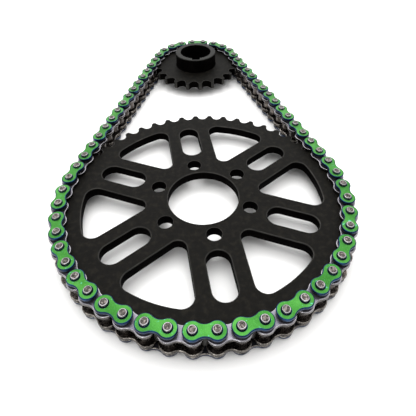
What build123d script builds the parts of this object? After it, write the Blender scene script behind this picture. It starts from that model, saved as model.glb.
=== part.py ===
from build123d import *
import math
import os

# Kart-size chain drive set: an endless roller chain wrapped on a large rear
# sprocket and a small front sprocket.  Millimetres.
# Origin: centre of the rear sprocket's bore, on the chain's middle plane.
# +Z is along the sprocket axes, +Y points from the rear to the front sprocket.

# ---------------------------------------------------------------- chain
pitch = 7.774                 # pin to pin
n_links = 68                  # 34 outer and 34 inner links
roller_r = 2.295
roller_bore_r = 1.95
roller_half = 2.50
bush_r = 1.92
bush_bore_r = 1.54
pin_r = 1.505
pin_half = 7.10
pin_neck_r = 1.36             # neck of the loop-closing pin, inside its bushing
inner_z0, inner_z1 = 2.55, 3.85
outer_z0, outer_z1 = 4.85, 6.15
outer_end_r, outer_waist = 3.30, 2.20
inner_end_r, inner_waist = 3.65, 2.60
seal_ring_r, seal_cord_r = 2.50, 0.47
plate_chamfer = 0.14

# ---------------------------------------------------------------- sprockets
rear_teeth = 49
front_teeth = 21
disc_half = 2.25              # half thickness of both toothed discs
seat_r = 2.355                # roller seat radius, centred on the pitch circle
seat_half_angle = 62.0        # the seat arc reaches this far each side, degrees
rear_tip_r = 61.45
front_tip_r = 27.35
rear_bore_r = 15.4
bolt_pcd = 41.7
bolt_hole_r = 3.25
bolt_angle = 39.7             # first bolt hole, degrees from +X
spoke_angle = 37.4            # first spoke, degrees from +X
slot_r0, slot_r1, slot_w = 28.4, 49.8, 9.5
spoke_half_w = 10.7
window_r = 51.8
window_inner_fillet, window_outer_fillet = 3.6, 4.4
front_bore_r = 10.0
collar_r = 13.1
collar_top = 11.2
collar_chamfer = 0.4
keyway_w, keyway_d = 5.0, 1.8

# ---------------------------------------------------------------- layout
travel = -0.25                # where the chain stands, in pitches from symmetric
first_seat, last_seat = -1, 28        # pins seated on the rear sprocket
first_front, last_front = 43, 52      # pins seated on the front sprocket

rear_step = 2 * math.pi / rear_teeth
front_step = 2 * math.pi / front_teeth
rear_pitch_r = pitch / 2 / math.sin(rear_step / 2)
front_pitch_r = pitch / 2 / math.sin(front_step / 2)


def rear_angle(k):
    return -math.pi / 2 + (k - 13.5 + travel) * rear_step


def front_angle(k, turn):
    return math.pi / 2 + (k - 47.5) * front_step + turn


def rear_pin(k):
    return (rear_pitch_r * math.cos(rear_angle(k)), rear_pitch_r * math.sin(rear_angle(k)))


def front_pin(k, centre, turn):
    a = front_angle(k, turn)
    return (front_pitch_r * math.cos(a), centre + front_pitch_r * math.sin(a))


def span_errors(centre, turn):
    a, b = rear_pin(last_seat), front_pin(first_front, centre, turn)
    c, d = front_pin(last_front, centre, turn), rear_pin(first_seat)
    right = math.hypot(a[0] - b[0], a[1] - b[1]) - (first_front - last_seat) * pitch
    left = math.hypot(c[0] - d[0], c[1] - d[1]) - (n_links + first_seat - last_front) * pitch
    return right, left


# Newton steps for the centre distance and the front sprocket's turn that leave
# both spans straight with whole numbers of links.
centre_distance, front_turn = 123.38, travel * front_step
for _ in range(12):
    e = span_errors(centre_distance, front_turn)
    h = 1e-6
    e1 = span_errors(centre_distance + h, front_turn)
    e2 = span_errors(centre_distance, front_turn + h)
    a11, a21 = (e1[0] - e[0]) / h, (e1[1] - e[1]) / h
    a12, a22 = (e2[0] - e[0]) / h, (e2[1] - e[1]) / h
    det = a11 * a22 - a12 * a21
    centre_distance -= (e[0] * a22 - e[1] * a12) / det
    front_turn -= (e[1] * a11 - e[0] * a21) / det

pins_xy = {}
for k in range(first_seat, last_seat + 1):
    pins_xy[k % n_links] = rear_pin(k)
for k in range(first_front, last_front + 1):
    pins_xy[k] = front_pin(k, centre_distance, front_turn)
for start, end in ((last_seat, first_front), (last_front, n_links + first_seat)):
    (xa, ya), (xb, yb) = pins_xy[start], pins_xy[end]
    for k in range(start + 1, end):
        f = (k - start) / (end - start)
        pins_xy[k] = (xa + (xb - xa) * f, ya + (yb - ya) * f)


def link_place(k):
    """Where link k sits: its first pin, turned so +X points to its second pin."""
    (xa, ya), (xb, yb) = pins_xy[k], pins_xy[(k + 1) % n_links]
    return Location((xa, ya, 0), (0, 0, math.degrees(math.atan2(yb - ya, xb - xa))))


def pin_place(k):
    return Location((pins_xy[k][0], pins_xy[k][1], 0))


# Link k joins pins k and k+1.  Odd links are outer links, even links are inner.
groups = {
    "rear": list(range(0, 28)),
    "right_rear_link": [28],
    "right_strand": list(range(29, 43)),
    "right_front_link": [43],
    "front": list(range(44, 52)),
    "left_front_link": [52],
    "left_strand_front": list(range(53, 60)),
    "left_strand_rear": list(range(60, 67)),
    "left_rear_link": [67],
}
open_pin = 60                 # the loop closes here; its pin has the slim neck

os.makedirs("parts", exist_ok=True)


def keep(part, label):
    part.label = label
    export_step(part, "parts/" + label + ".step")


# ---------------------------------------------------------------- one plate of each kind
def plate_outline(end_r, waist):
    """Corner points and arc mid points of a waisted link plate."""
    half = pitch / 2
    neck_r = (half ** 2 + waist ** 2 - end_r ** 2) / (2 * (end_r - waist))
    rise = waist + neck_r
    a = math.atan2(rise, half)
    tx, ty = end_r * math.cos(a), end_r * math.sin(a)
    return tx, ty


outer_tx, outer_ty = plate_outline(outer_end_r, outer_waist)
inner_tx, inner_ty = plate_outline(inner_end_r, inner_waist)

with BuildPart() as outer_plate:
    with BuildSketch():
        with BuildLine():
            ThreePointArc((outer_tx, outer_ty), (-outer_end_r, 0), (outer_tx, -outer_ty))
            ThreePointArc((outer_tx, -outer_ty), (pitch / 2, -outer_waist), (pitch - outer_tx, -outer_ty))
            ThreePointArc((pitch - outer_tx, -outer_ty), (pitch + outer_end_r, 0), (pitch - outer_tx, outer_ty))
            ThreePointArc((pitch - outer_tx, outer_ty), (pitch / 2, outer_waist), (outer_tx, outer_ty))
        make_face()
    extrude(amount=outer_z1 - outer_z0)
    rims = outer_plate.edges().filter_by(lambda e: abs(e.bounding_box().size.Z) < 1e-6)
    chamfer(rims, length=plate_chamfer)
    with Locations((0, 0), (pitch, 0)):
        Hole(radius=pin_r)

with BuildPart() as inner_plate:
    with BuildSketch():
        with BuildLine():
            ThreePointArc((inner_tx, inner_ty), (-inner_end_r, 0), (inner_tx, -inner_ty))
            ThreePointArc((inner_tx, -inner_ty), (pitch / 2, -inner_waist), (pitch - inner_tx, -inner_ty))
            ThreePointArc((pitch - inner_tx, -inner_ty), (pitch + inner_end_r, 0), (pitch - inner_tx, inner_ty))
            ThreePointArc((pitch - inner_tx, inner_ty), (pitch / 2, inner_waist), (inner_tx, inner_ty))
        make_face()
    extrude(amount=inner_z1 - inner_z0)
    rims = inner_plate.edges().filter_by(lambda e: abs(e.bounding_box().size.Z) < 1e-6)
    chamfer(rims, length=plate_chamfer)
    with Locations((0, 0), (pitch, 0)):
        Hole(radius=bush_r)

# A riveted pin: chamfered shank with a shallow stamped ring recess in each end.
with BuildPart() as chain_pin:
    with BuildSketch(Plane.XZ):
        with BuildLine():
            Polyline(
                (0, -pin_half + 0.10), (0.55, -pin_half + 0.10), (0.95, -pin_half + 0.22), (1.12, -pin_half),
                (pin_r - 0.16, -pin_half), (pin_r, -pin_half + 0.22), (pin_r, pin_half - 0.22), (pin_r - 0.16, pin_half),
                (1.12, pin_half), (0.95, pin_half - 0.22), (0.55, pin_half - 0.10), (0, pin_half - 0.10), close=True,
            )
        make_face()
    revolve(axis=Axis.Z)

with BuildPart() as necked_pin:
    with BuildSketch(Plane.XZ):
        with BuildLine():
            Polyline(
                (0, -pin_half + 0.10), (0.55, -pin_half + 0.10), (0.95, -pin_half + 0.22), (1.12, -pin_half),
                (pin_r - 0.16, -pin_half), (pin_r, -pin_half + 0.22), (pin_r, -outer_z0 + 0.4), (pin_neck_r, -outer_z0 + 0.7),
                (pin_neck_r, outer_z0 - 0.7), (pin_r, outer_z0 - 0.4), (pin_r, pin_half - 0.22), (pin_r - 0.16, pin_half),
                (1.12, pin_half), (0.95, pin_half - 0.22), (0.55, pin_half - 0.10), (0, pin_half - 0.10), close=True,
            )
        make_face()
    revolve(axis=Axis.Z)

with BuildPart() as bushing:
    with BuildSketch(Plane.XY.offset(-inner_z1)):
        Circle(bush_r)
        Circle(bush_bore_r, mode=Mode.SUBTRACT)
    extrude(amount=2 * inner_z1)

with BuildPart() as roller:
    with BuildSketch(Plane.XY.offset(-roller_half)):
        Circle(roller_r)
        Circle(roller_bore_r, mode=Mode.SUBTRACT)
    extrude(amount=2 * roller_half)
    chamfer(roller.edges().filter_by(GeomType.CIRCLE).filter_by(lambda e: e.radius > 2.1), length=0.12)

seal_mid = (inner_z1 + outer_z0) / 2
with BuildPart() as seal_pair:
    with Locations((0, 0, seal_mid), (0, 0, -seal_mid)):
        Torus(seal_ring_r, seal_cord_r)

# ---------------------------------------------------------------- chain groups
for name, links in groups.items():
    outer = [k for k in links if k % 2 == 1]
    inner = [k for k in links if k % 2 == 0]
    if outer:
        places = [link_place(k) for k in outer]
        pins = [j for k in outer for j in (k, (k + 1) % n_links)]
        with BuildPart() as plates_top:
            with Locations(*[p * Location((0, 0, outer_z0)) for p in places]):
                add(outer_plate.part)
        keep(plates_top.part, name + "_outer_plates_top")
        with BuildPart() as plates_bottom:
            with Locations(*[p * Location((0, 0, -outer_z1)) for p in places]):
                add(outer_plate.part)
        keep(plates_bottom.part, name + "_outer_plates_bottom")
        with BuildPart() as pin_group:
            with Locations(*[pin_place(j) for j in pins if j != open_pin]):
                add(chain_pin.part)
            if open_pin in pins:
                with Locations(pin_place(open_pin)):
                    add(necked_pin.part)
        keep(pin_group.part, name + "_pins")
    if inner:
        places = [link_place(k) for k in inner]
        joints = [j for k in inner for j in (k, (k + 1) % n_links)]
        with BuildPart() as plates_top:
            with Locations(*[p * Location((0, 0, inner_z0)) for p in places]):
                add(inner_plate.part)
        keep(plates_top.part, name + "_inner_plates_top")
        with BuildPart() as plates_bottom:
            with Locations(*[p * Location((0, 0, -inner_z1)) for p in places]):
                add(inner_plate.part)
        keep(plates_bottom.part, name + "_inner_plates_bottom")
        with BuildPart() as bushing_group:
            with Locations(*[pin_place(j) for j in joints]):
                add(bushing.part)
        keep(bushing_group.part, name + "_bushings")
        with BuildPart() as roller_group:
            with Locations(*[pin_place(j) for j in joints]):
                add(roller.part)
        keep(roller_group.part, name + "_rollers")
        with BuildPart() as seal_group:
            with Locations(*[pin_place(j) for j in joints]):
                add(seal_pair.part)
        keep(seal_group.part, name + "_seals")


# ---------------------------------------------------------------- toothed discs
def tooth_points(pitch_r, step, tip_r, phase):
    """Seat, flank and tip points of each tooth space, going round the disc."""
    t = math.radians(seat_half_angle)
    sx, sy = seat_r * math.sin(t), -seat_r * math.cos(t)
    # the flank leaves the seat on its tangent and ends just under the tip circle
    flank_end_r = tip_r - 0.42
    lo, hi = 0.0, 6.0
    for _ in range(60):
        mid = (lo + hi) / 2
        fx, fy = sx + mid * math.cos(t), sy + mid * math.sin(t)
        if math.hypot(fx, pitch_r + fy) < flank_end_r:
            lo = mid
        else:
            hi = mid
    fx, fy = sx + lo * math.cos(t), sy + lo * math.sin(t)
    spaces = []
    count = round(2 * math.pi / step)
    for i in range(count):
        a = phase + i * step
        # local x runs clockwise, local y outward
        ux, uy = math.cos(a), math.sin(a)

        def at(x, y):
            return (ux * (pitch_r + y) + uy * x, uy * (pitch_r + y) - ux * x)

        b = a + step / 2
        spaces.append((at(fx, fy), at(sx, sy), at(0, -seat_r), at(-sx, sy), at(-fx, fy), (tip_r * math.cos(b), tip_r * math.sin(b))))
    return spaces


rear_spaces = tooth_points(rear_pitch_r, rear_step, rear_tip_r, rear_angle(0))
front_spaces = tooth_points(front_pitch_r, front_step, front_tip_r, front_angle(47, front_turn))

with BuildPart() as rear_sprocket:
    with BuildSketch(Plane.XY.offset(-disc_half)):
        with BuildLine():
            for i in range(rear_teeth):
                f0, s0, m, s1, f1, tip = rear_spaces[i]
                Line(f0, s0)
                ThreePointArc(s0, m, s1)
                Line(s1, f1)
                ThreePointArc(f1, tip, rear_spaces[(i + 1) % rear_teeth][0])
        make_face()
        Circle(rear_bore_r, mode=Mode.SUBTRACT)
        with PolarLocations(bolt_pcd / 2, 6, start_angle=bolt_angle):
            Circle(bolt_hole_r, mode=Mode.SUBTRACT)
        with PolarLocations((slot_r0 + slot_r1) / 2, 6, start_angle=spoke_angle):
            SlotOverall(slot_r1 - slot_r0, slot_w, mode=Mode.SUBTRACT)
    extrude(amount=2 * disc_half)
    # six windows between the spokes: two sides parallel to the spokes and an outer arc
    with BuildSketch(Plane.XY.offset(-disc_half)) as window_sketch:
        with BuildSketch(mode=Mode.PRIVATE) as window:
            half = math.radians(30)
            # vertex where the two spoke sides meet, and their ends on the outer circle
            vx = spoke_half_w / math.sin(half)
            end_a = half - math.asin(spoke_half_w / window_r)
            ex, ey = window_r * math.cos(end_a), window_r * math.sin(end_a)
            with BuildLine():
                Line((vx, 0), (ex, -ey))
                ThreePointArc((ex, -ey), (window_r, 0), (ex, ey))
                Line((ex, ey), (vx, 0))
            make_face()
            fillet(window.vertices().sort_by(Axis.X)[0], radius=window_inner_fillet)
            fillet(window.vertices().filter_by(lambda v: v.X > 40), radius=window_outer_fillet)
        with PolarLocations(0, 6, start_angle=spoke_angle - 30):
            add(window.sketch)
    extrude(amount=2 * disc_half, mode=Mode.SUBTRACT)
keep(rear_sprocket.part, "rear_sprocket")

with BuildPart() as front_sprocket:
    with BuildSketch(Plane((0, centre_distance, -disc_half))):
        with BuildLine():
            for i in range(front_teeth):
                f0, s0, m, s1, f1, tip = front_spaces[i]
                Line(f0, s0)
                ThreePointArc(s0, m, s1)
                Line(s1, f1)
                ThreePointArc(f1, tip, front_spaces[(i + 1) % front_teeth][0])
        make_face()
    extrude(amount=2 * disc_half)
    with BuildSketch(Plane((0, centre_distance, disc_half))):
        Circle(collar_r)
    extrude(amount=collar_top - disc_half)
    chamfer(front_sprocket.faces().sort_by(Axis.Z)[-1].edges(), length=collar_chamfer)
    with BuildSketch(Plane((0, centre_distance, -disc_half))):
        Circle(front_bore_r)
        with Locations((0, -front_bore_r)):
            Rectangle(keyway_w, 2 * keyway_d)
    extrude(amount=collar_top + disc_half, mode=Mode.SUBTRACT)
keep(front_sprocket.part, "front_sprocket")

print("centre distance", centre_distance, "front turn", math.degrees(front_turn))
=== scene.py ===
import math

import bpy
import numpy as np
from mathutils import Matrix, Vector, geometry


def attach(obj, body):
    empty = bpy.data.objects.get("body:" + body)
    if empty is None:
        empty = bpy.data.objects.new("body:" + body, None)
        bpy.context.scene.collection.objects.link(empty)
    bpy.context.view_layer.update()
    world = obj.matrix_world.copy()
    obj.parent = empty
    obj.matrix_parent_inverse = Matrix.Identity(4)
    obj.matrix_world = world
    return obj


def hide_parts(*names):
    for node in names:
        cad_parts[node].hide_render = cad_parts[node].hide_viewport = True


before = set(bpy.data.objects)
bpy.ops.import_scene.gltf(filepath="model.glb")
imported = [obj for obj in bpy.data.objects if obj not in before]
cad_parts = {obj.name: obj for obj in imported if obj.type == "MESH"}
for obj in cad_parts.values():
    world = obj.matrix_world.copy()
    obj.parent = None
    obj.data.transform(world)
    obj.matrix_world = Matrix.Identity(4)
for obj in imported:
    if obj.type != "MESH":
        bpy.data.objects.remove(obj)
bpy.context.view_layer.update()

MM = 0.001
scene = bpy.context.scene

# ------------------------------------------------------------------ sizes, as in the CAD source (mm)
pitch = 7.774
n_links = 68
travel = -0.25
rear_teeth, front_teeth = 49, 21
disc_half = 2.25
seat_r, seat_half_angle = 2.355, 62.0
rear_tip_r, front_tip_r = 61.45, 27.35
first_seat, last_seat, first_front, last_front = -1, 28, 43, 52
rear_step, front_step = 2 * math.pi / rear_teeth, 2 * math.pi / front_teeth
rear_pitch_r = pitch / 2 / math.sin(rear_step / 2)
front_pitch_r = pitch / 2 / math.sin(front_step / 2)
outer_z0, outer_z1, inner_z0, inner_z1 = 4.85, 6.15, 2.55, 3.85
pin_half, pin_r = 7.10, 1.505
centre_distance, front_turn = 123.38, travel * front_step


def rear_angle(k):
    return -math.pi / 2 + (k - 13.5 + travel) * rear_step


def front_angle(k, turn):
    return math.pi / 2 + (k - 47.5) * front_step + turn


def rear_pin(k):
    return (rear_pitch_r * math.cos(rear_angle(k)), rear_pitch_r * math.sin(rear_angle(k)))


def front_pin(k, centre, turn):
    a = front_angle(k, turn)
    return (front_pitch_r * math.cos(a), centre + front_pitch_r * math.sin(a))


def span_errors(centre, turn):
    a, b = rear_pin(last_seat), front_pin(first_front, centre, turn)
    c, d = front_pin(last_front, centre, turn), rear_pin(first_seat)
    return (math.hypot(a[0] - b[0], a[1] - b[1]) - (first_front - last_seat) * pitch,
            math.hypot(c[0] - d[0], c[1] - d[1]) - (n_links + first_seat - last_front) * pitch)


for _ in range(12):
    e = span_errors(centre_distance, front_turn)
    h = 1e-6
    e1, e2 = span_errors(centre_distance + h, front_turn), span_errors(centre_distance, front_turn + h)
    a11, a21 = (e1[0] - e[0]) / h, (e1[1] - e[1]) / h
    a12, a22 = (e2[0] - e[0]) / h, (e2[1] - e[1]) / h
    det = a11 * a22 - a12 * a21
    centre_distance -= (e[0] * a22 - e[1] * a12) / det
    front_turn -= (e[1] * a11 - e[0] * a21) / det

pins_xy = {}
for k in range(first_seat, last_seat + 1):
    pins_xy[k % n_links] = rear_pin(k)
for k in range(first_front, last_front + 1):
    pins_xy[k] = front_pin(k, centre_distance, front_turn)
for start, end in ((last_seat, first_front), (last_front, n_links + first_seat)):
    (xa, ya), (xb, yb) = pins_xy[start], pins_xy[end]
    for k in range(start + 1, end):
        f = (k - start) / (end - start)
        pins_xy[k] = (xa + (xb - xa) * f, ya + (yb - ya) * f)

groups = {
    "rear": list(range(0, 28)),
    "right_rear_link": [28],
    "right_strand": list(range(29, 43)),
    "right_front_link": [43],
    "front": list(range(44, 52)),
    "left_front_link": [52],
    "left_strand_front": list(range(53, 60)),
    "left_strand_rear": list(range(60, 67)),
    "left_rear_link": [67],
}

# ------------------------------------------------------------------ camera
cam_data = bpy.data.cameras.new("camera")
cam = bpy.data.objects.new("camera", cam_data)
scene.collection.objects.link(cam)
scene.camera = cam
cam_data.sensor_width = 36.0
cam_data.lens = 406.804 / 416 * 36.0
cam_data.shift_y = -0.1875
cam_data.clip_start, cam_data.clip_end = 0.005, 20.0
turn = math.radians(-2.356)
down, roll = 0.6432613, -0.0143578


def spun(x, y, z):
    return Vector((x * math.cos(turn) - y * math.sin(turn), x * math.sin(turn) + y * math.cos(turn), z))


forward = spun(0.0, math.cos(down), -math.sin(down))
right = spun(1.0, 0.0, 0.0)
up = spun(0.0, math.sin(down), math.cos(down))
right_r = right * math.cos(roll) + up * math.sin(roll)
up_r = up * math.cos(roll) - right * math.sin(roll)
cam.matrix_world = Matrix((
    (right_r.x, up_r.x, -forward.x, 0), (right_r.y, up_r.y, -forward.y, 0), (right_r.z, up_r.z, -forward.z, 0), (0, 0, 0, 1)))
cam.location = spun(2.43980, -124.21766, 124.29534 + pin_half) * MM

# ------------------------------------------------------------------ light
scene.view_settings.view_transform = "Standard"
scene.view_settings.look = "None"
world = bpy.data.worlds.new("studio")
scene.world = world
world.use_nodes = True
wn, wl = world.node_tree.nodes, world.node_tree.links
wn.clear()
w_out = wn.new("ShaderNodeOutputWorld")
w_bg = wn.new("ShaderNodeBackground")
w_bg.inputs["Color"].default_value = (1.0, 1.0, 1.0, 1)
w_tc, w_dot, w_top, w_pow, w_mul = (wn.new("ShaderNodeTexCoord"), wn.new("ShaderNodeVectorMath"), wn.new("ShaderNodeMath"),
                                    wn.new("ShaderNodeMath"), wn.new("ShaderNodeMath"))
w_dot.operation, w_top.operation, w_pow.operation, w_mul.operation = "DOT_PRODUCT", "MAXIMUM", "POWER", "MULTIPLY_ADD"
w_dot.inputs[1].default_value = Vector((0.0, 0.42, 0.9)).normalized()
w_top.inputs[1].default_value = 0.0
w_pow.inputs[1].default_value = 2.0
w_mul.inputs[1].default_value, w_mul.inputs[2].default_value = 3.55, 0.22
wl.new(w_tc.outputs["Generated"], w_dot.inputs[0])
wl.new(w_dot.outputs["Value"], w_top.inputs[0])
wl.new(w_top.outputs[0], w_pow.inputs[0])
wl.new(w_pow.outputs[0], w_mul.inputs[0])
wl.new(w_mul.outputs[0], w_bg.inputs["Strength"])
w_seen, w_white, w_mix = wn.new("ShaderNodeLightPath"), wn.new("ShaderNodeBackground"), wn.new("ShaderNodeMixShader")
w_white.inputs["Color"].default_value = (0.97, 0.97, 0.965, 1)
wl.new(w_seen.outputs["Is Camera Ray"], w_mix.inputs[0])
wl.new(w_bg.outputs[0], w_mix.inputs[1])
wl.new(w_white.outputs[0], w_mix.inputs[2])
wl.new(w_mix.outputs[0], w_out.inputs[0])


def soft_light(name, place, aim, size, watts, tint=(1, 1, 1)):
    data = bpy.data.lights.new(name, "AREA")
    data.shape, data.size, data.energy, data.color = "DISK", size, watts, tint
    light = bpy.data.objects.new(name, data)
    scene.collection.objects.link(light)
    light.location = place
    light.rotation_mode = "QUATERNION"
    light.rotation_quaternion = (Vector(aim) - Vector(place)).to_track_quat("-Z", "Y")
    return light


soft_light("overhead_softbox", (0.02, 0.27, 0.60), (0.0, 0.02, 0.0), 0.16, 0.35)
soft_light("front_fill", (-0.35, -0.95, 0.22), (0.0, 0.03, 0.0), 0.35, 3.0)


# ------------------------------------------------------------------ material building
def nodes_of(name):
    m = bpy.data.materials.new(name)
    m.use_nodes = True
    nt = m.node_tree
    nt.nodes.clear()
    out = nt.nodes.new("ShaderNodeOutputMaterial")
    b = nt.nodes.new("ShaderNodeBsdfPrincipled")
    nt.links.new(b.outputs[0], out.inputs[0])
    tc = nt.nodes.new("ShaderNodeTexCoord")
    return m, nt, b, tc.outputs["Object"]


def noise(nt, where, scale, detail=4.0, rough=0.55, distortion=0.0):
    n = nt.nodes.new("ShaderNodeTexNoise")
    n.inputs["Scale"].default_value = scale
    n.inputs["Detail"].default_value = detail
    n.inputs["Roughness"].default_value = rough
    n.inputs["Distortion"].default_value = distortion
    nt.links.new(where, n.inputs["Vector"])
    return n.outputs[0]


def ramp(nt, fac, stops):
    r = nt.nodes.new("ShaderNodeValToRGB")
    el = r.color_ramp.elements
    while len(el) < len(stops):
        el.new(0.5)
    for e, (p, c) in zip(el, stops):
        e.position, e.color = p, (c[0], c[1], c[2], 1)
    nt.links.new(fac, r.inputs[0])
    return r.outputs[0]


def spread(nt, fac, lo, hi, out_lo, out_hi):
    r = nt.nodes.new("ShaderNodeMapRange")
    for i, v in enumerate((lo, hi, out_lo, out_hi), start=1):
        r.inputs[i].default_value = v
    nt.links.new(fac, r.inputs[0])
    return r.outputs[0]


def mixed(nt, fac, a, b, kind="MIX"):
    x = nt.nodes.new("ShaderNodeMix")
    x.data_type, x.blend_type = "RGBA", kind
    for s, v in ((x.inputs[0], fac), (x.inputs[6], a), (x.inputs[7], b)):
        if hasattr(v, "is_output") or hasattr(v, "links"):
            nt.links.new(v, s)
        elif isinstance(v, (int, float)):
            s.default_value = v
        else:
            s.default_value = (v[0], v[1], v[2], 1)
    return x.outputs[2]


def bumped(nt, b, height, strength, distance, before=None):
    n = nt.nodes.new("ShaderNodeBump")
    n.inputs["Strength"].default_value = strength
    n.inputs["Distance"].default_value = distance
    nt.links.new(height, n.inputs["Height"])
    if before is not None:
        nt.links.new(before, n.inputs["Normal"])
    nt.links.new(n.outputs[0], b.inputs["Normal"])
    return n.outputs[0]


def srgb(r, g, b):
    def one(c):
        c /= 255.0
        return c / 12.92 if c <= 0.04045 else ((c + 0.055) / 1.055) ** 2.4
    return (one(r), one(g), one(b))


def metal(name, dark, mid, light, metallic, rough, coarse=180.0, fine=2600.0, grain=0.25, grain_depth=0.00003, coat=0.0, specular=0.5):
    """Metal with broad tone changes, a fine grain, and roughness that follows the grain."""
    m, nt, b, where = nodes_of(name)
    broad, small = noise(nt, where, coarse, 5.0), noise(nt, where, fine, 3.0, 0.6)
    colour = ramp(nt, broad, [(0.30, dark), (0.5, mid), (0.70, light)])
    colour = mixed(nt, spread(nt, small, 0.42, 0.68, 0.0, 0.35), colour, light)
    nt.links.new(colour, b.inputs["Base Color"])
    nt.links.new(spread(nt, small, 0.3, 0.7, rough[0], rough[1]), b.inputs["Roughness"])
    b.inputs["Metallic"].default_value = metallic
    b.inputs["Specular IOR Level"].default_value = specular
    if coat:
        b.inputs["Coat Weight"].default_value = coat
        b.inputs["Coat Roughness"].default_value = 0.12
    bumped(nt, b, small, grain, grain_depth)
    return m


# bright green coat with fine metal flake and dark specks, plus patches of painted cyan highlight
green, nt, b, where = nodes_of("green_coat")
patch, flake, speck = noise(nt, where, 120.0, 4.0), noise(nt, where, 2600.0, 2.0, 0.6), noise(nt, where, 5200.0, 1.0, 0.5)
colour = ramp(nt, patch, [(0.34, srgb(32, 90, 24)), (0.5, srgb(44, 105, 34)), (0.66, srgb(58, 120, 46))])
colour = mixed(nt, spread(nt, flake, 0.55, 0.72, 0.0, 0.55), colour, srgb(90, 154, 80))
colour = mixed(nt, spread(nt, speck, 0.60, 0.72, 0.0, 0.6), colour, srgb(18, 72, 20))
# painted highlight: small cyan glint patches mixed into the base colour
painted_cyan_glint = noise(nt, where, 900.0, 3.0, 0.7)
colour = mixed(nt, spread(nt, painted_cyan_glint, 0.63, 0.74, 0.0, 0.75), colour, srgb(96, 186, 170))
nt.links.new(colour, b.inputs["Base Color"])
nt.links.new(spread(nt, flake, 0.3, 0.7, 0.24, 0.42), b.inputs["Roughness"])
b.inputs["Metallic"].default_value = 0.6
b.inputs["Specular IOR Level"].default_value = 0.2
bumped(nt, b, flake, 0.35, 0.00003)

# navy colour of the coated plates' walls and rims; on the rounded rim round each pin hole it is also painted shade
# where the pin meets the plate
navy_edge_and_pin_shade = metal("plate_edge_navy_and_pin_shade", srgb(3, 14, 36), srgb(8, 30, 60), srgb(22, 60, 96), 0.8, (0.28, 0.5), 300.0, 3000.0)
lower_plate = metal("lower_outer_steel", srgb(30, 32, 38), srgb(52, 54, 62), srgb(84, 84, 90), 0.85, (0.26, 0.46), 220.0, 2600.0)
inner_steel = metal("inner_plate_satin", srgb(74, 72, 82), srgb(98, 96, 106), srgb(124, 121, 130), 0.9, (0.30, 0.48), 160.0, 3000.0, 0.2)
# painted highlight: lighter, shinier steel on the rounded rims of the upper inner plates
inner_rim_painted_highlight = metal("inner_plate_rim_painted_highlight", srgb(104, 102, 108), srgb(136, 134, 138), srgb(172, 170, 173), 0.97, (0.14, 0.30), 260.0, 2600.0, 0.25)
# painted highlight: light steel on the rounded rims of the lower outer and lower inner plates
lower_rim_painted_highlight = metal("lower_plate_rim_painted_highlight", srgb(46, 43, 40), srgb(92, 88, 84), srgb(172, 166, 158), 0.96, (0.12, 0.32), 420.0, 1500.0, 0.5, 0.00008)
# painted shade: the inner-plate steel made much darker, for the side walls of the upper inner plates and the faces and
# walls of the lower inner plates
inner_steel_painted_shade = metal("inner_plate_painted_shade", srgb(18, 16, 15), srgb(44, 40, 38), srgb(100, 93, 87), 0.94, (0.16, 0.38), 420.0, 1500.0, 0.6, 0.00010)
roller_metal = metal("roller_burnished", srgb(20, 18, 17), srgb(50, 46, 44), srgb(118, 111, 105), 0.96, (0.14, 0.36), 420.0, 1500.0, 0.6, 0.00012)
bush_metal = metal("bushing_steel", srgb(40, 37, 35), srgb(60, 56, 54), srgb(90, 84, 80), 0.9, (0.3, 0.5), 300.0, 2600.0)
rubber = metal("seal_black_rubber", srgb(10, 10, 11), srgb(17, 17, 18), srgb(28, 28, 30), 0.0, (0.45, 0.7), 500.0, 4000.0, 0.3, specular=0.3)
pin_side = metal("pin_polished", srgb(90, 87, 90), srgb(128, 124, 127), srgb(170, 166, 169), 0.98, (0.16, 0.34), 300.0, 3200.0, 0.15)
pin_face = metal("pin_stamped_face", srgb(12, 11, 11), srgb(40, 37, 35), srgb(134, 126, 122), 0.93, (0.26, 0.5), 1500.0, 4200.0, 0.8, 0.00006)
black_oxide = metal("sprocket_black_oxide", srgb(3, 3, 2), srgb(8, 7, 5), srgb(23, 21, 16), 0.05, (0.5, 0.75), 420.0, 2000.0, 0.5, 0.00006, specular=0.07)
# painted shade: the black oxide made near-black with almost no reflection on the walls of the windows, holes, tooth
# seats, bore and collar
sprocket_wall_painted_shade = metal("sprocket_walls_in_painted_shade", srgb(1, 1, 1), srgb(3, 2, 2), srgb(7, 6, 5), 0.05, (0.6, 0.8), 160.0, 1800.0, 0.4, 0.00005, specular=0.01)
# painted highlight: lighter oxide on the rounded rims and on the walls at the tooth tips
sprocket_edge_painted_highlight = metal("sprocket_edges_in_painted_highlight", srgb(16, 15, 13), srgb(26, 25, 22), srgb(46, 44, 40), 0.4, (0.36, 0.55), 260.0, 2400.0, 0.3, specular=0.3)
collar_grey = metal("collar_turned_grey", srgb(14, 14, 13), srgb(23, 23, 21), srgb(38, 38, 35), 0.35, (0.40, 0.6), 420.0, 2400.0, 0.3, specular=0.12)


# ------------------------------------------------------------------ mesh building
class Mesh:
    """Collects points and faces, with a material number for each face."""

    def __init__(self):
        self.v, self.f, self.m = [], [], []

    def add(self, v, f, m, at=None):
        base = sum(len(x) for x in self.v)
        v = np.asarray(v, float)
        if at is not None:
            x, y, a = at
            c, s = math.cos(a), math.sin(a)
            v = np.column_stack((x + v[:, 0] * c - v[:, 1] * s, y + v[:, 0] * s + v[:, 1] * c, v[:, 2]))
        self.v.append(v)
        self.f += [tuple(i + base for i in face) for face in f]
        self.m += list(m)

    def made(self, name, body, materials, replaces=(), slot=None, smooth=True):
        me = bpy.data.meshes.new(name)
        v = np.concatenate(self.v) * MM
        me.from_pydata(v.tolist(), [], self.f)
        for mat in materials:
            me.materials.append(mat)
        me.polygons.foreach_set("material_index", self.m)
        me.polygons.foreach_set("use_smooth", [smooth] * len(self.f))
        me.validate()
        me.update()
        o = bpy.data.objects.new(name, me)
        scene.collection.objects.link(o)
        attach(o, body)
        if replaces:
            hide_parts(*replaces)
        return o


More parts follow.
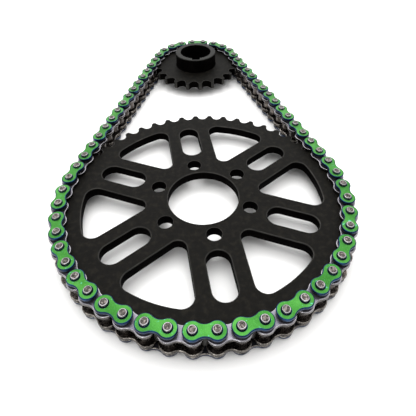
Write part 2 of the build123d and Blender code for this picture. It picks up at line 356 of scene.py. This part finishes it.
def strip(a, b, n):
    """Quads between ring a and ring b of n points, both running anticlockwise, b outside or above a."""
    return [(a + i, a + (i + 1) % n, b + (i + 1) % n, b + i) for i in range(n)]


def arc(cx, cy, r, a0, a1, n, last=False):
    return [(cx + r * math.cos(a0 + (a1 - a0) * i / n), cy + r * math.sin(a0 + (a1 - a0) * i / n)) for i in range(n + (1 if last else 0))]


def plate_loop(end_r, waist, d):
    half = pitch / 2
    neck_r = (half ** 2 + waist ** 2 - end_r ** 2) / (2 * (end_r - waist))
    rise = waist + neck_r
    a = math.atan2(rise, half)
    ro, rn = end_r - d, neck_r + d
    return (arc(0, 0, ro, a, 2 * math.pi - a, 30)
            + arc(half, -rise, rn, math.pi - a, a, 10)
            + arc(pitch, 0, ro, a - math.pi, math.pi - a, 30)
            + arc(half, rise, rn, -a, a - math.pi, 10))


def circle(cx, cy, r, n):
    return arc(cx, cy, r, 0, 2 * math.pi, n)


def inside(points, loop):
    """Which of the points lie inside the loop."""
    p, q = np.asarray(points, float), np.asarray(loop, float)
    x, y = p[:, 0][:, None], p[:, 1][:, None]
    x1, y1 = q[:, 0][None], q[:, 1][None]
    x2, y2 = np.roll(q[:, 0], -1)[None], np.roll(q[:, 1], -1)[None]
    cross = ((y1 > y) != (y2 > y)) & (x < (x2 - x1) * (y - y1) / np.where(y2 == y1, 1e-12, y2 - y1) + x1)
    return cross.sum(1) % 2 == 1


def flat_cap(outer, holes):
    """Triangles, anticlockwise, of the flat face between an outline and its holes. The numbers follow the loops in order."""
    loops = [outer] + list(holes)
    pts, edges, base = [], [], 0
    for loop in loops:
        n = len(loop)
        pts += [Vector((x, y)) for x, y in loop]
        edges += [(base + i, base + (i + 1) % n) for i in range(n)]
        base += n
    vs, es, fs, vo, eo, fo = geometry.delaunay_2d_cdt(pts, edges, [], 0, 1e-7)
    back = [orig[0] if orig else None for orig in vo]
    tri = np.array([f for f in fs if len(f) == 3])
    co = np.array([(v.x, v.y) for v in vs])
    mid = co[tri].mean(1)
    keep = inside(mid, outer)
    for hole in holes:
        keep &= ~inside(mid, hole)
    out = []
    for t in tri[keep]:
        a, b_, c = (co[i] for i in t)
        ids = [back[i] for i in t]
        if None in ids:
            raise RuntimeError("a cap gained a point")
        if (b_[0] - a[0]) * (c[1] - a[1]) - (b_[1] - a[1]) * (c[0] - a[0]) < 0:
            ids.reverse()
        out.append(tuple(ids))
    return out


def offset_loop(loop, d, sign):
    """The loop moved by d into the material: sign +1 for an outline, -1 for a hole; both run anticlockwise."""
    p = np.asarray(loop, float)
    e = np.roll(p, -1, 0) - p
    e /= np.linalg.norm(e, axis=1)[:, None]
    nrm = np.column_stack((-e[:, 1], e[:, 0]))
    before = np.roll(nrm, 1, 0)
    m = nrm + before
    m /= np.maximum((m * nrm).sum(1), 0.55)[:, None]
    return [tuple(x) for x in p + sign * d * m]


def slab(outer, holes, z0, z1, round_outer, round_hole, mats, steps=4, top_cap=True, bottom_cap=True, outer_fn=None, hole_fns=None, wall_pick=None):
    """A flat piece between z0 and z1 with rounded rims. outer_fn(d) and hole_fns[i](d) give the loop moved d into the
    material. mats = (face, wall, rim). Returns points, faces and materials, closed when both caps are on."""
    v, f, m = [], [], []

    def ring(loop, z):
        start = len(v)
        v.extend((x, y, z) for x, y in loop)
        return start

    rounds = [round_outer] + list(round_hole)
    fns = [outer_fn] + list(hole_fns)
    tops, bottoms = [], []
    for i, (fn, r) in enumerate(zip(fns, rounds)):
        n = len(fn(0.0))
        stations = []
        stations.append((r + 0.06, z0, 0))
        for j in range(steps + 1):
            t = math.pi / 2 * j / steps
            stations.append((r * (1 - math.sin(t)), z0 + r * (1 - math.cos(t)), 2))
        for j in range(steps + 1):
            t = math.pi / 2 * (1 - j / steps)
            stations.append((r * (1 - math.sin(t)), z1 - r * (1 - math.cos(t)), 2))
        stations.append((r + 0.06, z1, 0))
        starts = [ring(fn(d), z) for d, z, _ in stations]
        for j in range(len(starts) - 1):
            kind = 1 if j == steps + 1 else (0 if j in (0, len(starts) - 2) else 2)
            q = strip(starts[j], starts[j + 1], n)
            if i > 0:
                q = [tuple(reversed(x)) for x in q]
            f += q
            m += [wall_pick(x) for x in range(n)] if wall_pick and i == 0 and kind == 1 else [mats[kind]] * n
        bottoms.append((starts[0], n))
        tops.append((starts[-1], n))
    deepest = [fn(r + 0.06) for fn, r in zip(fns, rounds)]
    tri = flat_cap(deepest[0], deepest[1:])

    def lookup(starts):
        table = []
        for s, n in starts:
            table += list(range(s, s + n))
        return table
    if top_cap:
        t = lookup(tops)
        f += [(t[a], t[b_], t[c]) for a, b_, c in tri]
        m += [mats[0]] * len(tri)
    if bottom_cap:
        t = lookup(bottoms)
        f += [(t[c], t[b_], t[a]) for a, b_, c in tri]
        m += [mats[0]] * len(tri)
    return np.array(v), f, m


def plate(end_r, waist, hole_r, z0, z1, rim, hole_rim, mats):
    return slab(None, None, z0, z1, rim, [hole_rim, hole_rim], mats,
                outer_fn=lambda d: plate_loop(end_r, waist, d),
                hole_fns=[lambda d: circle(0, 0, hole_r + d, 32), lambda d: circle(pitch, 0, hole_r + d, 32)])


def turned(profile, n, mats, closed=False):
    """A turned piece from (r, z) stations listed bottom to top on the outside; r = 0 ends in a point. mats has one number per step."""
    v, f, m = [], [], []
    starts = []
    for r, z in profile:
        starts.append((len(v), r))
        if r == 0:
            v.append((0, 0, z))
        else:
            v.extend((x, y, z) for x, y in circle(0, 0, r, n))
    pairs = list(range(len(profile) - 1)) + ([len(profile) - 1] if closed else [])
    for j in pairs:
        (a, ra), (b_, rb) = starts[j], starts[(j + 1) % len(profile)]
        if ra == 0:
            q = [(a, b_ + (i + 1) % n, b_ + i) for i in range(n)]
        elif rb == 0:
            q = [(a + i, a + (i + 1) % n, b_) for i in range(n)]
        else:
            q = strip(a, b_, n)
        f += q
        m += [mats[j]] * len(q)
    return np.array(v), f, m


# ---- templates
# the 0.34 rounding round each pin hole takes the navy edge material, giving a ring of painted shade round every pin
upper_outer = plate(3.30, 2.20, pin_r + 0.02, outer_z0, outer_z1, 0.34, 0.34, (0, 1, 1))
lower_outer = plate(3.30, 2.20, pin_r + 0.02, -outer_z1, -outer_z0, 0.26, 0.10, (0, 1, 2))
upper_inner = plate(3.65, 2.60, 1.94, inner_z0, inner_z1, 0.26, 0.10, (0, 1, 2))
lower_inner = plate(3.65, 2.60, 1.94, -inner_z1, -inner_z0, 0.26, 0.10, (0, 1, 2))


def pin_profile():
    """Half of a riveted pin, from its middle up: shank, rounded rim, stamped groove and a rough middle."""
    up_half = [(pin_r, 0.0), (pin_r, pin_half - 0.34)]
    for j in range(1, 5):
        t = math.pi / 2 * j / 4
        up_half.append((pin_r - 0.24 * (1 - math.cos(t)), pin_half - 0.24 + 0.24 * math.sin(t)))
    up_half += [(1.16, pin_half - 0.01), (1.08, pin_half - 0.10), (0.98, pin_half - 0.13), (0.88, pin_half - 0.09), (0.70, pin_half - 0.06), (0.48, pin_half - 0.07), (0.24, pin_half - 0.06), (0.0, pin_half - 0.07)]
    return up_half


def pin_mesh(rng):
    half = pin_profile()
    full = [(r, -z) for r, z in reversed(half)] + half[1:]
    kinds = []
    for (r0, z0), (r1, z1) in zip(full[:-1], full[1:]):
        kinds.append(1 if max(r0, r1) < 1.17 else 0)
    v, f, m = turned(full, 32, kinds)
    r = np.hypot(v[:, 0], v[:, 1])
    a = np.arctan2(v[:, 1], v[:, 0])
    end = (np.abs(v[:, 2]) > pin_half - 0.2) & (r < 1.0)
    # punch marks: a few shallow pits at uneven angles, and a small random relief
    turn_by = rng.uniform(0, 2 * math.pi)
    pits = 0.035 * np.cos(4 * a + turn_by) * np.clip(r / 0.7, 0, 1) + rng.normal(0, 0.014, len(v))
    v[:, 2] += np.where(end, np.sign(v[:, 2]) * np.clip(pits, -0.07, 0.045), 0.0)
    return v, f, m


roller_tpl = turned(
    [(2.0, -2.44), (2.08, -2.5), (2.17, -2.5), (2.25, -2.46), (2.285, -2.38), (2.295, -2.26), (2.295, 2.26), (2.285, 2.38), (2.25, 2.46), (2.17, 2.5), (2.08, 2.5), (2.0, 2.44)],
    40, [0] * 12, closed=True)

for body, links in groups.items():
    outer = [k for k in links if k % 2 == 1]
    inner = [k for k in links if k % 2 == 0]

    def place(k):
        (xa, ya), (xb, yb) = pins_xy[k], pins_xy[(k + 1) % n_links]
        return (xa, ya, math.atan2(yb - ya, xb - xa))

    if outer:
        top, bottom, pins = Mesh(), Mesh(), Mesh()
        for k in outer:
            top.add(*upper_outer, at=place(k))
            bottom.add(*lower_outer, at=place(k))
            for j in (k, (k + 1) % n_links):
                rng = np.random.default_rng(900 + j)
                pins.add(*pin_mesh(rng), at=(pins_xy[j][0], pins_xy[j][1], 0.0))
        top.made(body + "_coated_plates", body, [green, navy_edge_and_pin_shade], [body + "_outer_plates_top"], "outer_plate_green")
        bottom.made(body + "_lower_outer_plates", body, [lower_plate, navy_edge_and_pin_shade, lower_rim_painted_highlight], [body + "_outer_plates_bottom"], "outer_plate_dark")
        pins.made(body + "_riveted_pins", body, [pin_side, pin_face], [body + "_pins"], "pin_steel")
    if inner:
        top, bottom, rollers = Mesh(), Mesh(), Mesh()
        for k in inner:
            top.add(*upper_inner, at=place(k))
            bottom.add(*lower_inner, at=place(k))
            for j in (k, (k + 1) % n_links):
                rollers.add(*roller_tpl, at=(pins_xy[j][0], pins_xy[j][1], 0.0))
        # upper inner plates: satin faces, walls in painted shade, rims in painted highlight; lower inner plates: faces
        # and walls in painted shade, rims in painted highlight
        top.made(body + "_upper_inner_plates", body, [inner_steel, inner_steel_painted_shade, inner_rim_painted_highlight], [body + "_inner_plates_top"], "inner_plate_steel")
        bottom.made(body + "_lower_inner_plates", body, [inner_steel_painted_shade, inner_steel_painted_shade, lower_rim_painted_highlight], [body + "_inner_plates_bottom"], "inner_plate_steel")
        rollers.made(body + "_turned_rollers", body, [roller_metal], [body + "_rollers"], "roller_steel")
        for node, mat in ((body + "_bushings", bush_metal), (body + "_seals", rubber)):
            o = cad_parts[node]
            o.data.materials.clear()
            o.data.materials.append(mat)


# ------------------------------------------------------------------ toothed discs
def tooth_loop(centre, pitch_r, step, tip_r, phase):
    t = math.radians(seat_half_angle)
    sx, sy = seat_r * math.sin(t), -seat_r * math.cos(t)
    flank_end_r = tip_r - 0.42
    lo, hi = 0.0, 6.0
    for _ in range(60):
        mid = (lo + hi) / 2
        fx, fy = sx + mid * math.cos(t), sy + mid * math.sin(t)
        lo, hi = (mid, hi) if math.hypot(fx, pitch_r + fy) < flank_end_r else (lo, mid)
    fx, fy = sx + lo * math.cos(t), sy + lo * math.sin(t)
    count = round(2 * math.pi / step)
    out = []
    for i in range(count):
        a = phase + i * step
        ux, uy = math.cos(a), math.sin(a)

        def at(x, y):
            return (centre[0] + ux * (pitch_r + y) + uy * x, centre[1] + uy * (pitch_r + y) - ux * x)

        # going round anticlockwise: the near flank, the seat, the far flank, then the tip arc
        out.append(at(fx, fy))
        out.append(at((fx + sx) / 2, (fy + sy) / 2))
        for j in range(15):
            w = t - 2 * t * j / 14
            out.append(at(seat_r * math.sin(w), -seat_r * math.cos(w)))
        out.append(at(-(fx + sx) / 2, (fy + sy) / 2))
        out.append(at(-fx, fy))
        b0 = a + math.atan2(fx, pitch_r + fy)
        b1 = a + step - math.atan2(fx, pitch_r + fy)
        for j in range(1, 4):
            q = j / 4
            ang = b0 + (b1 - b0) * q
            rr = flank_end_r + 0.42 * 4 * q * (1 - q)
            out.append((centre[0] + rr * math.cos(ang), centre[1] + rr * math.sin(ang)))
    return out


def rounded_corners(points, radii, n=8):
    """A polygon's corners, anticlockwise, made into arcs of the given radii (0 keeps the corner)."""
    out = []
    count = len(points)
    for i, (p, r) in enumerate(zip(points, radii)):
        p = np.array(p, float)
        a, c = np.array(points[i - 1], float), np.array(points[(i + 1) % count], float)
        if r == 0:
            out.append(tuple(p))
            continue
        u, w = (a - p) / np.linalg.norm(a - p), (c - p) / np.linalg.norm(c - p)
        half = math.acos(float(np.clip(u @ w, -1, 1))) / 2
        reach = r / math.tan(half)
        centre = p + (u + w) / np.linalg.norm(u + w) * (r / math.sin(half))
        s, e_ = p + u * reach - centre, p + w * reach - centre
        a0, a1 = math.atan2(s[1], s[0]), math.atan2(e_[1], e_[0])
        while a1 < a0:
            a1 += 2 * math.pi
        out += arc(centre[0], centre[1], r, a0, a1, n, last=True)
    return out


def spin_loop(loop, angle, centre=(0.0, 0.0)):
    c, s = math.cos(angle), math.sin(angle)
    return [(centre[0] + x * c - y * s, centre[1] + x * s + y * c) for x, y in loop]


def window_loop():
    """A window between two spokes, along +X: two straight sides, an outer arc, three rounded corners."""
    half, hw, wr = math.radians(30), 10.7, 51.8
    vx = hw / math.sin(half)
    r1, r2 = 3.6, 4.4
    # straight side from the vertex outwards, above the axis, at 30 degrees
    d = np.array((math.cos(half), math.sin(half)))
    n = np.array((-math.sin(half), math.cos(half)))
    # inner corner centre on the axis
    c1 = np.array((vx + r1 / math.sin(half), 0.0))
    # outer corner centre: r2 inside the side and r2 inside the outer arc
    lo, hi = 0.0, 80.0
    for _ in range(60):
        mid = (lo + hi) / 2
        q = np.array((vx, 0.0)) + d * mid - n * r2
        lo, hi = (mid, hi) if np.hypot(*q) < wr - r2 else (lo, mid)
    c2 = np.array((vx, 0.0)) + d * lo - n * r2
    on_arc = math.atan2(c2[1], c2[0])
    side_n = math.atan2(n[1], n[0])
    upper = arc(c2[0], c2[1], r2, on_arc, side_n, 10, last=True)          # from the outer arc round to the side
    inner_corner = arc(c1[0], c1[1], r1, side_n, 2 * math.pi - side_n, 14, last=True)
    lower = arc(c2[0], -c2[1], r2, -side_n, -on_arc, 10, last=True)
    outer_arc = arc(0, 0, wr, -on_arc, on_arc, 28)[1:]
    side_up = [tuple(np.array(upper[-1]) + (np.array(inner_corner[0]) - np.array(upper[-1])) * q / 6) for q in range(1, 6)]
    side_dn = [tuple(np.array(inner_corner[-1]) + (np.array(lower[0]) - np.array(inner_corner[-1])) * q / 6) for q in range(1, 6)]
    return upper + side_up + inner_corner + side_dn + lower + outer_arc


def slot_loop(r0, r1, w):
    r = w / 2
    left, right_ = r0 + r, r1 - r
    straight_top = [(right_ + (left - right_) * q / 6, r) for q in range(1, 6)]
    straight_low = [(left + (right_ - left) * q / 6, -r) for q in range(1, 6)]
    return (arc(right_, 0, r, -math.pi / 2, math.pi / 2, 16, last=True) + straight_top
            + arc(left, 0, r, math.pi / 2, 3 * math.pi / 2, 16, last=True) + straight_low)


def tooth_wall(i):
    """The walls at the tooth tips get the lighter edge colour, a painted highlight; the seat walls keep the
    painted-shade wall colour.
    """
    return 2 if i % 22 in (18, 19, 20, 21) else 1


outline = tooth_loop((0.0, 0.0), rear_pitch_r, rear_step, rear_tip_r, rear_angle(0))
hole_loops, hole_rims = [circle(0, 0, 15.4, 96)], [0.35]
for i in range(6):
    a = math.radians(39.7 + 60 * i)
    hole_loops.append(circle(41.7 / 2 * math.cos(a), 41.7 / 2 * math.sin(a), 3.25, 40))
    hole_rims.append(0.18)
    a = math.radians(37.4 + 60 * i)
    hole_loops.append(spin_loop(slot_loop(28.4, 49.8, 9.5), a))
    hole_rims.append(0.38)
    hole_loops.append(spin_loop(window_loop(), a - math.radians(30)))
    hole_rims.append(0.38)

disc = Mesh()
disc.add(*slab(None, None, -disc_half, disc_half, 0.28, hole_rims, (0, 1, 2), steps=3, wall_pick=tooth_wall,
               outer_fn=lambda d: offset_loop(outline, d, 1) if d else outline,
               hole_fns=[(lambda d, q=q: offset_loop(q, d, -1) if d else q) for q in hole_loops]))
disc.made("rear_toothed_disc", "rear", [black_oxide, sprocket_wall_painted_shade, sprocket_edge_painted_highlight], ["rear_sprocket"], "rear_sprocket_black")

# front sprocket: toothed disc, collar with a bevelled mouth, and a bore with a keyway
fc = (0.0, centre_distance)
f_outline = tooth_loop(fc, front_pitch_r, front_step, front_tip_r, front_angle(47, front_turn))
key_half, key_deep, bore_r = 2.5, 1.8, 10.0
key_a = math.asin(key_half / bore_r)
bore_loop = arc(fc[0], fc[1], bore_r, -math.pi / 2 + key_a, 3 * math.pi / 2 - key_a, 84, last=True)
bore_loop += [(fc[0] - key_half, fc[1] - bore_r - key_deep), (fc[0], fc[1] - bore_r - key_deep), (fc[0] + key_half, fc[1] - bore_r - key_deep)]


def front_disc():
    v, f, m = [], [], []

    def ring(loop, z):
        start = len(v)
        v.extend((x, y, z) for x, y in loop)
        return start

    def run(fn, stations, kinds, hole=False, toothed=False):
        starts = [ring(fn(d), z) for d, z in stations]
        n = len(fn(0.0))
        for j in range(len(starts) - 1):
            q = strip(starts[j], starts[j + 1], n)
            if hole:
                q = [tuple(reversed(x)) for x in q]
            f.extend(q)
            m.extend([tooth_wall(x) for x in range(n)] if toothed and kinds[j] == 1 else [kinds[j]] * n)
        return starts[0], starts[-1], n

    def edge_stations(r, z0, z1, steps=3, more=0.06):
        s = [(r + more, z0)]
        s += [(r * (1 - math.sin(math.pi / 2 * j / steps)), z0 + r * (1 - math.cos(math.pi / 2 * j / steps))) for j in range(steps + 1)]
        s += [(r * (1 - math.sin(math.pi / 2 * (1 - j / steps))), z1 - r * (1 - math.cos(math.pi / 2 * (1 - j / steps)))) for j in range(steps + 1)]
        return s + [(r + more, z1)]

    kinds = [0] + [2] * 3 + [1] + [2] * 3 + [0]
    out_fn = lambda d: offset_loop(f_outline, d, 1) if d else f_outline
    o0, o1, on = run(out_fn, edge_stations(0.2, -disc_half, disc_half), kinds, toothed=True)
    bore_fn = lambda d: offset_loop(bore_loop, d, -1) if d else bore_loop
    b0, b1, bn = run(bore_fn, edge_stations(0.12, -disc_half, 11.2, more=0.03), [0, 2, 2, 2, 1, 2, 2, 2, 3], hole=True)
    col = lambda d: circle(fc[0], fc[1], 13.1 - d, 96)
    stations = [(-0.62, disc_half), (-0.5, disc_half), (-0.25, disc_half + 0.07), (-0.07, disc_half + 0.25), (0.0, disc_half + 0.5), (0.0, 11.2 - 0.42), (0.04, 11.2 - 0.34), (0.32, 11.2 - 0.04), (0.40, 11.2), (0.44, 11.2)]
    c0, c1, cn = run(col, stations, [0, 0, 1, 1, 1, 3, 3, 3, 3])
    for loops, starts, flip, kind in (
        ((out_fn(0.26), bore_fn(0.15)), ((o0, on), (b0, bn)), True, 0),
        ((out_fn(0.26), col(-0.62)), ((o1, on), (c0, cn)), False, 0),
        ((col(0.44), bore_fn(0.15)), ((c1, cn), (b1, bn)), False, 3),
    ):
        tri = flat_cap(loops[0], [loops[1]])
        table = [s + i for s, n in starts for i in range(n)]
        f.extend((table[c], table[b_], table[a]) if flip else (table[a], table[b_], table[c]) for a, b_, c in tri)
        m.extend([kind] * len(tri))
    return np.array(v), f, m


small = Mesh()
small.add(*front_disc())
small.made("front_toothed_disc", "front", [black_oxide, sprocket_wall_painted_shade, sprocket_edge_painted_highlight, collar_grey], ["front_sprocket"], "front_sprocket_black")

# ------------------------------------------------------------------ floor
floor_mat, nt, b, where = nodes_of("pale_paper")
tone = noise(nt, where, 6.0, 3.0)
nt.links.new(ramp(nt, tone, [(0.3, (0.93, 0.925, 0.915)), (0.7, (0.95, 0.945, 0.935))]), b.inputs["Base Color"])
b.inputs["Roughness"].default_value = 0.9
b.inputs["Specular IOR Level"].default_value = 0.1
fm = bpy.data.meshes.new("paper_floor")
R = 3.0
fm.from_pydata([(-R, -R, 0), (R, -R, 0), (R, R, 0), (-R, R, 0)], [], [(0, 1, 2, 3)])
fm.materials.append(floor_mat)
floor = bpy.data.objects.new("paper_floor", fm)
scene.collection.objects.link(floor)
floor.location.z = -pin_half * MM - 0.00002
